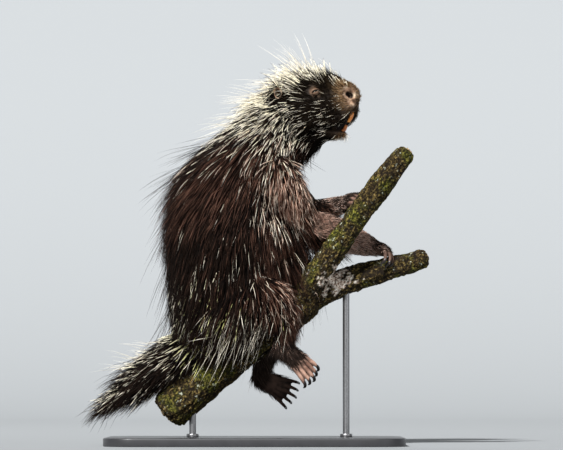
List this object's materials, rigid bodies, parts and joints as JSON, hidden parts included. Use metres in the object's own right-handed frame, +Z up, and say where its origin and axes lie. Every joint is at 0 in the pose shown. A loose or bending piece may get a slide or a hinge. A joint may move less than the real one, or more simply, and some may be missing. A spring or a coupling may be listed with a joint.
{
  "type": "porcupine model on a forked limb",
  "caption": "Life-size still porcupine in dark coat and pale quills, sitting upright astride a forked tree limb on a flat base with two rods.",
  "frame": {"origin": "middle of the underside of the stand's base", "axes": "+Z up, +X the way that the body faces, +Y the animal's left side; the head is turned 24 degrees to its right"},
  "size_m": [0.5163, 0.2652, 0.6058],
  "materials": {
    "dark_fur": "dark brown underfur under light-tipped guard hairs and pale quills with dark tips",
    "face_fur": "short brown face fur",
    "foot_skin": "pebbled dark sole and toes with black claws",
    "eye": "polished black",
    "incisor": "orange tooth enamel",
    "bark": "rough bark with moss and lichen, sawn ends",
    "base_lacquer": "satin black lacquer",
    "rod_steel": "satin"
  },
  "bodies": {
    "root": {"rump": "dark_fur", "trunk": "dark_fur", "chest": "dark_fur", "neck": "dark_fur", "tail": "dark_fur", "thigh_right": "dark_fur", "thigh_left": "dark_fur", "shank_right": "dark_fur", "shank_left": "dark_fur", "upper_arm_right": "dark_fur", "upper_arm_left": "dark_fur", "forearm_right": "dark_fur", "forearm_left": "dark_fur", "head": "face_fur", "jaw": "face_fur", "ear_right": "face_fur", "ear_left": "face_fur", "foot_right": "foot_skin", "foot_left": "foot_skin", "hand_right": "foot_skin", "hand_left": "foot_skin", "eye_right": "eye", "eye_left": "eye", "incisor_upper_right": "incisor", "incisor_upper_left": "incisor", "incisor_lower_right": "incisor", "incisor_lower_left": "incisor", "perch_limb": "bark", "perch_high_fork": "bark", "perch_low_fork": "bark", "stand_base": "base_lacquer", "stand_rod_low": "rod_steel", "stand_rod_high": "rod_steel"}
  },
  "joints": []
}
